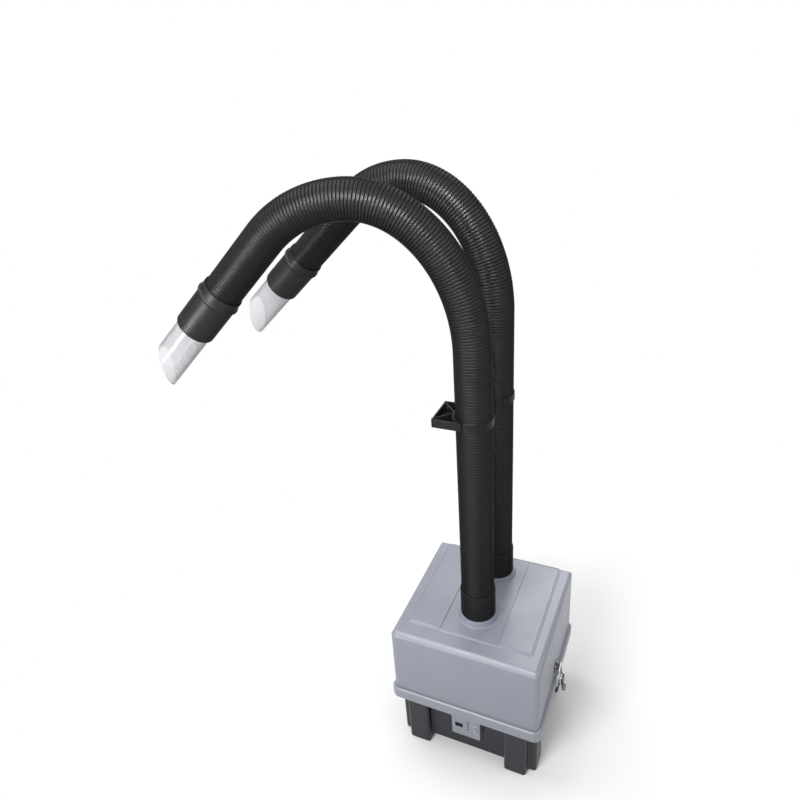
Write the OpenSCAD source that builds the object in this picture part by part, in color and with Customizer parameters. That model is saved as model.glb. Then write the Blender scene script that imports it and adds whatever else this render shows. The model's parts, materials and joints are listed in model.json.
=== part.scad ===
// Portable bench fume extractor with two stay-put hose arms.
// Millimetres, +Z up. The origin is on the floor, under the middle of the base.
// The front of the unit faces -Y, and both arms reach out over -X.

/* [Unit] */
// Width of the rim across the front
rim_w = 320; // [300:1:345]
// Depth of the rim from front to back
rim_d = 310; // [290:1:335]
// Height of the rim's band
rim_h = 25; // [20:1:32]
// Height of the rim's lower edge above the floor
rim_z = 136; // [130:1:150]
// Radius of the rim's corners in plan
rim_corner = 16; // [10:1:24]
// Wall of the moulded shells
wall = 4; // [3:0.5:5]

/* [Hood] */
// Height of the hood above the rim
hood_h = 158; // [145:1:180]
// Step from the rim's edge in to the hood's wall
rim_step = 6; // [4:0.5:9]
// How far each hood wall leans in towards the top
hood_draft = 1; // [0:0.5:3]
// Radius of the hood's front edges, upright and along the top
hood_round = 11; // [7:0.5:18]
// Radius of the hood's back edges
back_round = 6; // [5.5:0.5:10]
// Width of the channel between the raised panels
channel_w = 120; // [100:1:140]
// Width of each raised panel
panel_strip_w = 69; // [50:1:75]
// Height of each step on the hood's top
top_step = 1.5; // [1:0.5:3]
// Plain border in front of the raised panels
top_border = 40; // [25:1:60]

/* [Base] */
// Inset of the base's walls from the rim's edge
base_inset = 12; // [9:0.5:15]
// Side of the square notch in each corner
corner_notch = 18; // [12:1:24]
// Width of each foot between its notch and the recess
foot_w = 47; // [38:1:56]
// Depth of the recess in each side
recess_depth = 18; // [12:1:22]
// Height of the base's floor above the ground
foot_raise = 8; // [6:1:14]
// Radius of the base's upright edges
base_round = 6; // [3:0.5:8]

/* [Hose inlets] */
// Distance between the two inlets, front to back
inlet_pitch = 130; // [110:1:150]
// Place of the point midway between the inlets, behind the middle
inlet_mid = 24; // [0:1:30]
// Outside diameter of the collar round each inlet
collar_od = 80; // [76:1:90]
// Height of the collar
collar_h = 13; // [6:1:16]
// Inside diameter of the spigot in each inlet
spigot_bore = 55; // [48:0.5:56]

/* [Hoses] */
// Outside diameter of a hose over its ribs
hose_od = 65.5; // [60:0.5:70]
// Depth of a rib
rib_depth = 1.2; // [0.8:0.1:2.5]
// Wall of a hose under its ribs
hose_wall = 1.5; // [1:0.25:2]
// Distance from rib to rib
rib_pitch = 12; // [11.5:0.5:20]
// Wall of a cuff round the end of a hose
cuff_wall = 2; // [1.5:0.25:4]
// Height of the cuff at each inlet
inlet_cuff_h = 61; // [50:1:70]
// Length of the cuff at each nozzle
nozzle_cuff_l = 93; // [80:1:110]
// Depth of a hose's seat in a cuff
hose_seat = 35; // [20:1:38]
// Height at which an arm turns on its upright run
swing_z = 835; // [820:1:840]

/* [Front arm] */
// Direction of the front arm, from +X towards +Y
front_azimuth = 195; // [185:1:210]
// Height at which the front arm starts to bend
front_bend_z = 905; // [905:1:930]
// Reach of the front arm's crown from its upright run
front_reach = 190; // [160:1:220]
// Rise of the front arm from the bend to the crown
front_rise = 256; // [220:1:280]
// Bend radius past the front arm's crown
front_fall_r = 190; // [140:1:220]
// Slope of the front arm's straight end
front_fall = 45; // [35:1:55]
// Length of the front arm's straight end up to its cuff
front_straight = 120; // [80:1:160]
// Turn of the front nozzle's long side from the arm's underside
front_turn = -22; // [-90:1:90]

/* [Rear arm] */
// Direction of the rear arm, from +X towards +Y
rear_azimuth = 180; // [165:1:182]
// Height at which the rear arm starts to bend
rear_bend_z = 930; // [905:1:950]
// Reach of the rear arm's crown from its upright run
rear_reach = 160; // [140:1:200]
// Rise of the rear arm from the bend to the crown
rear_rise = 226; // [200:1:260]
// Bend radius past the rear arm's crown
rear_fall_r = 154; // [130:1:200]
// Slope of the rear arm's straight end
rear_fall = 42.5; // [35:0.5:55]
// Length of the rear arm's straight end up to its cuff
rear_straight = 157; // [80:1:180]
// Turn of the rear nozzle's long side from the arm's underside
rear_turn = -10; // [-90:1:90]

/* [Nozzles] */
// Outside diameter of a nozzle
nozzle_od = 62; // [56:0.5:64]
// Wall of a nozzle
nozzle_wall = 1.5; // [1:0.25:3]
// Length of a nozzle's short side outside its cuff
nozzle_l = 72; // [50:1:110]
// Slant of a nozzle's mouth
mouth_slant = 41.5; // [0:0.5:45]
// Depth of a nozzle's seat in its cuff
nozzle_seat = 40; // [25:1:40]

/* [Bench brackets] */
// Height of the front bracket's lower edge
front_bracket_z = 774; // [600:1:780]
// Height of the rear bracket's lower edge
rear_bracket_z = 756; // [600:1:780]
// Height of a bracket
bracket_h = 16; // [12:1:24]
// Length of a bracket along the bench's edge
bracket_l = 70; // [64:1:90]
// Distance from the hose's middle to the bench's edge
bracket_reach = 66; // [56:1:90]
// Wall of a bracket
bracket_wall = 3; // [2:0.5:4]
// Distance between a bracket's two screw holes
bracket_pitch = 44; // [30:1:50]
// Diameter of a bracket's screw holes
bracket_hole = 4.5; // [3.5:0.5:6]
// Thickness of a strap
strap_t = 1.6; // [1:0.2:2.4]
// Direction of a strap's buckle, from +X towards +Y
buckle_azimuth = -43; // [-80:1:60]

/* [Latches] */
// Height of a latch's pivot above the rim's lower edge
latch_pivot = 19; // [16:0.5:20]
// Width of a latch's plate
latch_w = 30; // [28:1:40]
// Distance from a lever's pivot down to its bail's pivot
bail_throw = 11; // [9:0.5:12]
// Height of a keeper's shelf above the rim
keeper_rise = 22; // [18:1:40]
// Thickness of a bail's wire
bail_wire = 3; // [2:0.25:3.5]
// Length of a lever below its pivot
lever_l = 29; // [24:1:36]

/* [Filter] */
// Width of the filter
filter_w = 210; // [180:1:214]
// Depth of the filter
filter_d = 200; // [170:1:204]
// Height of the filter's casing
filter_h = 118; // [100:1:120]
// Height of the carbon bed
carbon_h = 40; // [25:1:50]
// Height of the pleated fine filter
pleat_h = 54; // [35:1:55]
// Number of pleats
pleats = 16; // [8:1:24]
// Height of the filter's seal
filter_seal_h = 5; // [3:0.5:8]

/* [Fan] */
// Outside diameter of the impeller
impeller_d = 120; // [100:1:128]
// Height of the impeller's blades
blade_h = 36; // [25:1:42]
// Number of blades
blades = 12; // [8:1:16]
// Inside diameter of the fan scroll
scroll_id = 147; // [140:1:152]
// Height of the fan scroll
scroll_h = 66; // [60:1:72]
// Diameter of the air hole in the deck
air_hole = 92; // [70:1:98]
// Diameter of the motor
motor_d = 84; // [60:1:96]
// Height of the motor
motor_h = 56; // [40:1:60]
// Diameter of the motor's shaft
shaft_d = 8; // [6:0.5:12]

/* [Control panel] */
// Width of the control panel
panel_w = 62; // [56:1:80]
// Height of the panel's lower edge above the floor
panel_z = 57; // [45:1:65]
// How far the panel stands out of the recess
panel_t = 13; // [11:0.5:16]
// Travel of the key
key_travel = 1; // [0.5:0.1:1.2]

/* [Back] */
// Width of the exhaust grille
grille_w = 92; // [70:1:96]
// Height of the exhaust grille
grille_h = 58; // [44:1:60]
// Height of the grille's lower edge above the floor
grille_z = 40; // [30:1:44]

/* [Fits] */
// Gap between parts that slide or lie next to each other
fit_gap = 0.3; // [0.2:0.05:0.5]
// Gap round a turning shaft or pin
turn_gap = 0.1; // [0.05:0.01:0.15]

/* [Hidden] */
$fn = 48;
cut = 1;
far = 400;

charcoal = "#4a4b52";
rim_grey = "#b4b7bd";
hood_grey = "#a3aab6";
hose_black = "#232325";
bracket_black = "#1b1b1c";
steel = "#c5c8cc";

// Plan of the unit
rim_x = rim_w / 2;
rim_y = rim_d / 2;
base_x = rim_x - base_inset;
base_y = rim_y - base_inset;
recess_x = base_x - corner_notch - foot_w;
recess_y = base_y - corner_notch - foot_w;
recess_front = base_y - recess_depth;
hood_x = rim_x - rim_step;
hood_y = rim_y - rim_step;
deck_z = rim_z + rim_h;
tub_top = deck_z - wall;
floor_z = foot_raise + wall;
fillet_ease = 0.3;
hood_top = deck_z + hood_h;
channel_z = hood_top + top_step;
hood_ceiling = hood_top - wall;

// Screws
screw_r = 2;
screw_head_r = 5;
screw_head_h = 3;
screw_l = 22;
pilot_gap = 0.05;
pillar_r = 7;
pillar_gap = 2;
pillar_x = base_x - corner_notch - wall - pillar_r - pillar_gap;
pillar_y = base_y - corner_notch - wall - pillar_r - pillar_gap;

// Filter stack, from the deck up
casing_wall = 1.5;
casing_lip = 12;
seal_land = 20;
mat_drop = 3;
filter_z = deck_z + filter_seal_h;
carbon_z = filter_z + casing_wall;
pleat_z = carbon_z + carbon_h;
mat_z = pleat_z + pleat_h;
mat_h = filter_z + filter_h - mat_z - mat_drop;
pack_w = filter_w - 2 * casing_wall - 2 * fit_gap;
pack_d = filter_d - 2 * casing_wall - 2 * fit_gap;
pleat_skin = 2.4;
seal_t = 5;
seal_h = 8;

// Fan, hung under the deck
scroll_wall = 2.5;
gasket_h = 3;
scroll_r = scroll_id / 2 + scroll_wall;
scroll_top = tub_top - gasket_h;
scroll_z = scroll_top - scroll_h;
scroll_floor = scroll_z + scroll_wall;
foam_t = 24;
foam_gap = 1;
duct_l = recess_front - wall - foam_t - foam_gap - scroll_r;
duct_w = 52;
fan_screw_inset = 9;
fan_screw_r = scroll_id / 2 - fan_screw_inset;
fan_boss_r = 5;
fan_boss_l = 9;
fan_screw_end = 2;
fan_screw_l = wall + gasket_h + scroll_wall + fan_boss_l - fan_screw_end;
motor_z = scroll_z - motor_h;
motor_lip = 8;
motor_lip_t = 4;
shaft_seat = 10;
shaft_foot = motor_z + shaft_seat;
impeller_gap = 4;
impeller_z = scroll_floor + impeller_gap;
disc_t = 2;
hub_wall = 5;
hub_r = shaft_d / 2 + hub_wall;
hub_gap = 1;
hub_drop = 8;
eye_inset = 16;
eye_r = impeller_d / 2 - eye_inset;
blade_in = 12;
blade_l = 24;
blade_t = 1.5;
blade_lean = 38;

// Control panel in the front recess
panel_face = recess_front + panel_t;
panel_drop = 11;
panel_h = deck_z - panel_drop - panel_z;
panel_wall = 2.5;
plate_corner = 3;
board_t = 1.6;
board_gap = 3.2;
board_face = panel_face - panel_wall - board_gap;
board_inset = 6;
board_z = panel_z + board_inset;
board_h = panel_h - 2 * board_inset;
boss_r = 2.5;
boss_inset = 4;
chip_w = 16;
chip_t = 3;
chip_x = -12;
chip_rise = 12;
cable_hole_r = 8;
display_w = 17;
display_h = 12;
display_x = -15;
display_rise = 31;
display_z = panel_z + display_rise;
lamp_r = 1.7;
lamp_x = 5;
lamp_pitch = 7.7;
lamp_rise = 25;
lamp_z = panel_z + lamp_rise;
pad_w = 13;
pad_h = 32;
pad_t = 0.8;
pad_corner = 2;
pad_x = 22;
pad_z = display_z;
key_w = 7;
key_h = 13;
key_proud = 1.2;
key_flange = 1;
key_lip = 1;

// Back of the base
back_margin = 2;
grille_margin = 5;
grille_x = recess_x - base_round - grille_margin - grille_w / 2;
grille_t = 3;
grille_frame = 5;
slot_pitch = 7;
slot_h = 4;
slot_end = 4;
inlet_body_w = 28;
inlet_body_h = 20;
inlet_flange = 7;
inlet_flange_t = 3;
inlet_flange_w = inlet_body_w + 2 * inlet_flange;
inlet_flange_h = inlet_body_h + 2 * inlet_flange;
inlet_x = base_round + back_margin + inlet_flange_w / 2 - recess_x;
inlet_z = rim_z - back_margin - inlet_flange_h / 2;
inlet_body_l = 26;
inlet_recess_w = 24;
inlet_recess_h = 16;
inlet_recess_l = 17;
pin_l = 12;
pin_w = 2;
pin_h = 4;
pin_pitch = 14;

// Hose inlets
inlets = [inlet_mid - inlet_pitch / 2, inlet_mid + inlet_pitch / 2];
hose_r = hose_od / 2;
hose_root = hose_r - rib_depth;
hose_bore_r = hose_root - hose_wall;
hose_radii = [hose_root, hose_r];
seat_r = hose_r + fit_gap;
cuff_r = seat_r + cuff_wall;
spigot_wall = 2.5;
spigot_r = spigot_bore / 2 + spigot_wall;
neck_step = 2;
neck_r = spigot_r + neck_step;
nut_w = 8;
nut_r = neck_r + nut_w;
nut_h = 6;
nut_gap = 0.1;
collar_edge = 1.5;
collar_top = channel_z + collar_h;
inlet_cuff_top = collar_top + inlet_cuff_h;
hose_foot = inlet_cuff_top - hose_seat;
spigot_gap = 4;
spigot_top = hose_foot - spigot_gap;
spigot_drop = 6;
spigot_foot = hood_ceiling - nut_h - spigot_drop;

// Nozzles
nozzle_r = nozzle_od / 2;
nozzle_socket = nozzle_r + turn_gap;
cuff_throat = nozzle_r - nozzle_wall;
bead_h = 2.5;
bead_r = cuff_r + bead_h;
bead_l = 6;
bead_at = 15;

// Brackets and straps
strap_r = hose_r + fit_gap;
saddle_r = strap_r + strap_t + fit_gap;
saddle_end = saddle_r / 3;
strap_margin = 0.5;
strap_w = bracket_h - 2 * strap_margin;
buckle_w = 13;
buckle_t = 4.5;
web_floor_t = 2;
bracket_feet = [front_bracket_z, rear_bracket_z];

// Latches, measured out from the rim's side
latch_plate_t = 2;
latch_u = 7;
latch_z = rim_z + latch_pivot;
latch_pin_r = 1.5;
latch_margin = 2;
ear_drop = 6;
ear_rim = 2.6;
ear_in = 5;
ear_t = 1.5;
cheek_gap = 0.5;
cheek_in = ear_in + ear_t + cheek_gap;
cheek_t = 1.5;
cheek_rim = 3;
cheek_foot = 4;
lever_half = cheek_in + cheek_t;
web_u = 11;
web_t = 1.5;
web_rise = 1;
cheek_w = web_u + web_t / 2 - latch_u + cheek_rim;
lip_u = 18;
lip_t = 2;
rivet_r = 2;
rivet_h = 1;
rivet_inset = 4;
rivet_v = latch_w / 2 - rivet_inset;
rivet_mid = rim_z + rim_h / 2;
rivet_rise = rim_h / 2 - latch_margin - rivet_inset;
bail_r = bail_wire / 2;
knuckle = 0.2;
knuckle_r = bail_r + knuckle;
bail_half = lever_half + fit_gap + knuckle_r;
bail_out = 1;
bail_u = latch_u + bail_out;
bail_z = latch_z - bail_throw;
keeper_z = deck_z + keeper_rise;
keeper_drop = 7;
keeper_foot = keeper_z - keeper_drop;
keeper_wall_u = -rim_step - hood_draft * (keeper_foot - deck_z - cut) / hood_h;
keeper_t = 1.5;
keeper_w = 24;
keeper_h = 18;
keeper_rivet_z = keeper_foot + keeper_h - rivet_inset;
keeper_shelf_t = 2;
hook_gap = 1.5;
keeper_hook_half = bail_half - bail_r - hook_gap;
keeper_tip_u = 1.5;
keeper_lip_h = 5;
bar_gap = 0.5;
bar_u = keeper_tip_u + bail_r + bar_gap;
bar_z = keeper_z + keeper_shelf_t + bail_r;

// Arms: azimuth, height of the bend, reach, rise, fall radius, slope and straight end
front_arm = [front_azimuth, front_bend_z, front_reach, front_rise, front_fall_r, front_fall,
    front_straight];
rear_arm = [rear_azimuth, rear_bend_z, rear_reach, rear_rise, rear_fall_r, rear_fall,
    rear_straight];
arc_step = 5;
ring_sides = 14;
bore_step = 2;
shell_fn = 32;
field_r = 7;
field_slope = 1;
field_back = 1;

// End of a hose's visible run, in the plane of its arm: distance out and height
function arm_end(a) = [
    a[2] + a[4] * sin(a[5]) + a[6] * cos(a[5]),
    a[1] + a[3] - a[4] * (1 - cos(a[5])) - a[6] * sin(a[5])
];

// Points of an arm's middle line, from the swing plane to the hose's end in the cuff
function arm_line(a) = concat(
    [[0, swing_z]],
    [for (t = [0 : arc_step : 90]) [a[2] * (1 - cos(t)), a[1] + a[3] * sin(t)]],
    [for (t = [arc_step : arc_step : a[5] - cut]) crown_fall(a, t)],
    [crown_fall(a, a[5])],
    [arm_end(a) + (hose_seat - fit_gap) * [cos(a[5]), -sin(a[5])]]
);

function crown_fall(a, t) = [a[2] + a[4] * sin(t), a[1] + a[3] - a[4] * (1 - cos(t))];

function run_lengths(p, i = 1, sums = [0]) =
    i == len(p) ? sums : run_lengths(p, i + 1, concat(sums, [sums[i - 1] + norm(p[i] - p[i - 1])]));

function segment_at(sums, t) = max([for (k = [0 : len(sums) - 2]) if (k == 0 || sums[k] <= t) k]);

function point_at(p, sums, t) =
    let (i = segment_at(sums, t))
    p[i] + (p[i + 1] - p[i]) * (t - sums[i]) / (sums[i + 1] - sums[i]);

function heading_at(p, sums, t) =
    let (last = sums[len(sums) - 1])
    let (v = point_at(p, sums, min(t + cut, last)) - point_at(p, sums, max(t - cut, 0)))
    v / norm(v);

// One ring of points round the middle line, square to it
function ring(p, sums, t, r) =
    let (c = point_at(p, sums, t))
    let (h = heading_at(p, sums, t))
    [for (k = [0 : ring_sides - 1])
        let (a = 360 * k / ring_sides)
        [c[0] - r * cos(a) * h[1], r * sin(a), c[1] + r * cos(a) * h[0]]];

// Two triangles for each side between ring i and the next ring
function skin(i, first) = [
    for (k = [0 : ring_sides - 1])
        let (a = first + i * ring_sides + k)
        let (b = first + i * ring_sides + (k + 1) % ring_sides)
        each [[a, b, b + ring_sides], [a, b + ring_sides, a + ring_sides]]
];

function flipped(faces) = [for (f = faces) [f[2], f[1], f[0]]];

// Two triangles for each side of an end face between the outside and the bore
function end_face(outer, inner) = [
    for (k = [0 : ring_sides - 1])
        let (n = (k + 1) % ring_sides)
        each [[outer + k, inner + k, inner + n], [outer + k, inner + n, outer + n]]
];

// A ribbed tube with its bore along a line in the plane of an arm
module ribbed_hose(p) {
    sums = run_lengths(p);
    length = sums[len(sums) - 1];
    ribs = round(length / rib_pitch);
    bore_runs = ceil(ribs / bore_step);
    outer = [for (i = [0 : 2 * ribs]) ring(p, sums, length * i / (2 * ribs), hose_radii[i % 2])];
    inner = [for (i = [0 : bore_runs]) ring(p, sums, length * i / bore_runs, hose_bore_r)];
    first_inner = ring_sides * (2 * ribs + 1);
    last_outer = ring_sides * 2 * ribs;
    last_inner = first_inner + ring_sides * bore_runs;
    polyhedron(
        points = [for (r = concat(outer, inner)) each r],
        faces = concat(
            [for (i = [0 : 2 * ribs - 1]) each skin(i, 0)],
            [for (i = [0 : bore_runs - 1]) each flipped(skin(i, first_inner))],
            end_face(0, first_inner),
            flipped(end_face(last_outer, last_inner))
        )
    );
}

// Rounded rectangle in plan
module round_rect(w, d, r) {
    square([w - 2 * r, d], center = true);
    square([w, d - 2 * r], center = true);
    for (sx = [-1, 1], sy = [-1, 1])
        translate([sx * (w / 2 - r), sy * (d / 2 - r)])
            circle(r);
}

// Slot with round ends, along Y in plan
module stadium(w, h) {
    square([w, h - w], center = true);
    for (s = [-1, 1])
        translate([0, s * (h - w) / 2])
            circle(w / 2);
}

// Plate that stands upright and faces the front: y is its back face
module facing(y, t) {
    translate([0, y, 0])
        rotate([90, 0, 0])
            linear_extrude(t)
                children();
}

// Round rod between two points
module rod(p, q, r) {
    v = q - p;
    translate(p)
        rotate([0, acos(v[2] / norm(v)), atan2(v[1], v[0])])
            cylinder(r = r, h = norm(v));
}

// Screw with its head on height z
module screw(z, length) {
    translate([0, 0, z])
        cylinder(r = screw_head_r, h = screw_head_h);
    translate([0, 0, z - length])
        cylinder(r = screw_r, h = length);
}

module at_corners(x, y) {
    for (sx = [-1, 1], sy = [-1, 1])
        translate([sx * x, sy * y, 0])
            children();
}

module at_fan_screws() {
    for (k = [0 : 3])
        rotate(45 + 90 * k)
            translate([fan_screw_r, 0, 0])
                children();
}

module at_inlet(i) {
    translate([0, inlets[i], 0])
        children();
}

// Plane of an arm: +X runs outwards along the arm
module in_arm(i, a) {
    at_inlet(i)
        rotate([0, 0, a[0]])
            children();
}

// End of an arm: +Z runs on along the hose, +X is the underside
module at_arm_end(i, a) {
    e = arm_end(a);
    in_arm(i, a)
        translate([e[0], 0, e[1]])
            rotate([0, 90 + a[5], 0])
                children();
}

// Side of the rim: +X points away from the unit
module at_side(s) {
    mirror([s < 0 ? 1 : 0, 0, 0])
        translate([rim_x, 0, 0])
            children();
}

// Plan of the base with its corner notches and side recesses
module base_plan() {
    offset(r = base_round)
        offset(r = -2 * base_round)
            offset(r = base_round)
                difference() {
                    square([2 * base_x, 2 * base_y], center = true);
                    for (sx = [-1, 1], sy = [-1, 1])
                        translate([sx * base_x, sy * base_y])
                            square(2 * corner_notch, center = true);
                    for (s = [-1, 1]) {
                        translate([0, s * base_y])
                            square([2 * recess_x, 2 * recess_depth], center = true);
                        translate([s * base_x, 0])
                            square([2 * recess_depth, 2 * recess_y], center = true);
                    }
                }
}

module base_feet() {
    linear_extrude(foot_raise + cut)
        intersection() {
            base_plan();
            for (sx = [-1, 1], sy = [-1, 1])
                translate([sx * (recess_x + base_x) / 2, sy * (recess_y + base_y) / 2])
                    square([base_x - recess_x, base_y - recess_y], center = true);
        }
}

// Hollow round between a foot's inner side and the underside, along Y
module foot_fillet(side, from, to) {
    translate([side, to, foot_raise])
        rotate([90, 0, 0])
            linear_extrude(to - from)
                difference() {
                    translate([-foot_raise, -foot_raise])
                        square(foot_raise + cut);
                    translate([-foot_raise, -foot_raise])
                        circle(foot_raise + fillet_ease);
                }
}

module foot_fillets() {
    intersection() {
        linear_extrude(foot_raise + cut)
            base_plan();
        for (sx = [0, 1], sy = [0, 1])
            mirror([sx, 0, 0])
                mirror([0, sy, 0]) {
                    foot_fillet(recess_x, recess_y, base_y);
                    mirror([1, -1, 0])
                        foot_fillet(recess_y, recess_x, base_x);
                }
    }
}

module base_tub() {
    color(charcoal)
        difference() {
            union() {
                difference() {
                    union() {
                        translate([0, 0, foot_raise])
                            linear_extrude(tub_top - foot_raise)
                                base_plan();
                        base_feet();
                        foot_fillets();
                    }
                    translate([0, 0, floor_z])
                        linear_extrude(far)
                            offset(delta = -wall)
                                base_plan();
                }
                at_corners(pillar_x, pillar_y)
                    translate([0, 0, floor_z - cut])
                        cylinder(r = pillar_r, h = tub_top - floor_z + cut);
            }
            at_corners(pillar_x, pillar_y)
                translate([0, 0, deck_z - screw_l - cut])
                    cylinder(r = screw_r + pilot_gap, h = far);
            facing(recess_front + cut, wall + 2 * cut)
                translate([grille_x, grille_z + grille_h / 2])
                    square([grille_w - 2 * grille_frame, grille_h - 2 * grille_frame], center = true);
            facing(recess_front + cut, wall + 2 * cut)
                translate([inlet_x, inlet_z])
                    square([inlet_body_w + 2 * fit_gap, inlet_body_h + 2 * fit_gap], center = true);
            facing(wall + cut - recess_front, wall + 2 * cut)
                translate([0, panel_z + panel_h / 2])
                    circle(cable_hole_r);
        }
}

module deck_frame() {
    color(rim_grey)
        difference() {
            translate([0, 0, rim_z])
                linear_extrude(rim_h)
                    round_rect(rim_w, rim_d, rim_corner);
            translate([0, 0, rim_z - cut])
                linear_extrude(rim_h - wall + cut)
                    round_rect(rim_w - 2 * wall, rim_d - 2 * wall, rim_corner - wall);
            cylinder(d = air_hole, h = far);
            at_corners(pillar_x, pillar_y)
                cylinder(r = screw_r + fit_gap, h = far);
            at_fan_screws()
                cylinder(r = screw_r + fit_gap, h = far);
        }
}

module deck_screws() {
    color(steel)
        at_corners(pillar_x, pillar_y)
            screw(deck_z, screw_l);
}

module hood_seal() {
    seal_w = 2 * (hood_x - wall - fit_gap - hood_draft);
    seal_d = 2 * (hood_y - wall - fit_gap - hood_draft);
    seal_r = hood_round;
    color("#2a2a2b")
        translate([0, 0, deck_z])
            linear_extrude(seal_h)
                difference() {
                    round_rect(seal_w, seal_d, seal_r);
                    round_rect(seal_w - 2 * seal_t, seal_d - 2 * seal_t, seal_r - seal_t);
                }
}

module filter_seal() {
    color("#2a2a2b")
        translate([0, 0, deck_z])
            linear_extrude(filter_seal_h)
                difference() {
                    square([filter_w, filter_d], center = true);
                    square([filter_w - 2 * seal_land, filter_d - 2 * seal_land], center = true);
                }
}

module filter_casing() {
    lip_w = filter_w - 2 * casing_wall - 2 * casing_lip;
    lip_d = filter_d - 2 * casing_wall - 2 * casing_lip;
    color("#c9c4b4")
        difference() {
            translate([0, 0, filter_z])
                linear_extrude(filter_h)
                    square([filter_w, filter_d], center = true);
            translate([0, 0, carbon_z])
                linear_extrude(far)
                    square([filter_w - 2 * casing_wall, filter_d - 2 * casing_wall], center = true);
            linear_extrude(far)
                square([lip_w, lip_d], center = true);
        }
}

module carbon_bed() {
    color("#2d2f31")
        translate([0, 0, carbon_z])
            linear_extrude(carbon_h)
                square([pack_w, pack_d], center = true);
}

// Zigzag sheet of filter paper
module filter_pleats() {
    steps = 2 * pleats;
    fold = [for (i = [0 : steps]) [pack_w * (i / steps - 0.5), i % 2 * (pleat_h - pleat_skin)]];
    back = [for (i = [steps : -1 : 0]) fold[i] + [0, pleat_skin]];
    color("#e9e6da")
        facing(pack_d / 2, pack_d)
            translate([0, pleat_z])
                polygon(concat(fold, back));
}

module prefilter_mat() {
    color("#dcdcd2")
        translate([0, 0, mat_z])
            linear_extrude(mat_h)
                square([pack_w, pack_d], center = true);
}

module fan_gasket() {
    color("#2a2a2b")
        difference() {
            translate([0, 0, scroll_top])
                cylinder(r = scroll_r, h = gasket_h);
            cylinder(d = air_hole, h = far);
            at_fan_screws()
                cylinder(r = screw_r + fit_gap, h = far);
        }
}

module fan_scroll() {
    duct_x = scroll_id / 2 - duct_w;
    inner_h = scroll_h - 2 * scroll_wall;
    color("#3b3c40")
        difference() {
            union() {
                difference() {
                    translate([0, 0, scroll_z])
                        union() {
                            cylinder(r = scroll_r, h = scroll_h);
                            translate([duct_x - scroll_wall, 0, 0])
                                cube([duct_w + 2 * scroll_wall, scroll_r + duct_l, scroll_h]);
                        }
                    translate([0, 0, scroll_floor]) {
                        cylinder(d = scroll_id, h = inner_h);
                        translate([duct_x, 0, 0])
                            cube([duct_w, scroll_r + duct_l + cut, inner_h]);
                    }
                }
                at_fan_screws()
                    translate([0, 0, scroll_top - scroll_wall - fan_boss_l])
                        cylinder(r = fan_boss_r, h = scroll_wall + fan_boss_l);
            }
            translate([0, 0, scroll_top - scroll_wall - cut])
                cylinder(d = air_hole, h = far);
            cylinder(r = hub_r + hub_gap, h = scroll_floor + cut);
            at_fan_screws()
                cylinder(r = screw_r + pilot_gap, h = far);
        }
}

module fan_screws() {
    color(steel)
        at_fan_screws()
            screw(deck_z, fan_screw_l);
}

module fan_motor() {
    color("#8d9196")
        difference() {
            union() {
                translate([0, 0, motor_z])
                    cylinder(d = motor_d, h = motor_h);
                translate([0, 0, scroll_z - motor_lip_t])
                    cylinder(d = motor_d + 2 * motor_lip, h = motor_lip_t);
            }
            translate([0, 0, shaft_foot - fit_gap])
                cylinder(r = shaft_d / 2 + turn_gap, h = far);
        }
}

module motor_shaft() {
    color(steel)
        translate([0, 0, shaft_foot])
            cylinder(d = shaft_d, h = impeller_z + blade_h - shaft_foot);
}

module fan_impeller() {
    color("#55585d")
        difference() {
            union() {
                translate([0, 0, impeller_z])
                    cylinder(d = impeller_d, h = disc_t);
                translate([0, 0, impeller_z])
                    cylinder(r = hub_r, h = blade_h - hub_drop);
                for (k = [0 : blades - 1])
                    rotate(360 * k / blades)
                        translate([eye_r - blade_in, 0, impeller_z])
                            rotate(blade_lean)
                                cube([blade_l, blade_t, blade_h]);
                translate([0, 0, impeller_z + blade_h - disc_t])
                    difference() {
                        cylinder(d = impeller_d, h = disc_t);
                        translate([0, 0, -cut])
                            cylinder(r = eye_r, h = disc_t + 2 * cut);
                    }
            }
            cylinder(r = shaft_d / 2 + pilot_gap, h = far);
        }
}

module panel_outline(inset) {
    translate([0, panel_z + panel_h / 2])
        round_rect(panel_w - 2 * inset, panel_h - 2 * inset, plate_corner - inset / 2);
}

module at_lamps() {
    for (k = [0 : 3])
        translate([lamp_x, lamp_z + lamp_pitch * k])
            children();
}

module panel_case() {
    inner_t = panel_t - panel_wall;
    boss_l = panel_face - panel_wall - board_face;
    color(rim_grey) {
        difference() {
            facing(-recess_front, panel_t)
                panel_outline(0);
            facing(cut - recess_front, inner_t + cut)
                panel_outline(panel_wall);
            facing(-recess_front, far)
                translate([display_x, display_z])
                    square([display_w + 2 * turn_gap, display_h + 2 * turn_gap], center = true);
            facing(-recess_front, far)
                at_lamps()
                    circle(lamp_r + turn_gap);
            facing(-recess_front, far)
                translate([pad_x, pad_z])
                    stadium(key_w + 2 * fit_gap, key_h + 2 * fit_gap);
        }
        for (s = [-1, 1], z = [board_z + boss_inset, board_z + board_h - boss_inset])
            translate([s * (panel_w / 2 - panel_wall - boss_inset), 0, z])
                facing(-board_face, boss_l)
                    circle(boss_r);
    }
}

module control_board() {
    color("#2f5d3a") {
        facing(-board_face + board_t, board_t)
            translate([0, board_z + board_h / 2])
                square([panel_w - 2 * panel_wall - 2 * fit_gap, board_h], center = true);
        facing(-board_face + board_t + chip_t, chip_t)
            translate([chip_x, board_z + board_h / 2 + chip_rise])
                square(chip_w, center = true);
    }
}

module display_window() {
    color("#14181c")
        facing(-board_face, panel_face - board_face + fit_gap)
            translate([display_x, display_z])
                square([display_w, display_h], center = true);
}

module status_lamps() {
    color("#5a6a58")
        facing(-board_face, panel_face - board_face + fit_gap)
            at_lamps()
                circle(lamp_r);
}

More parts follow.
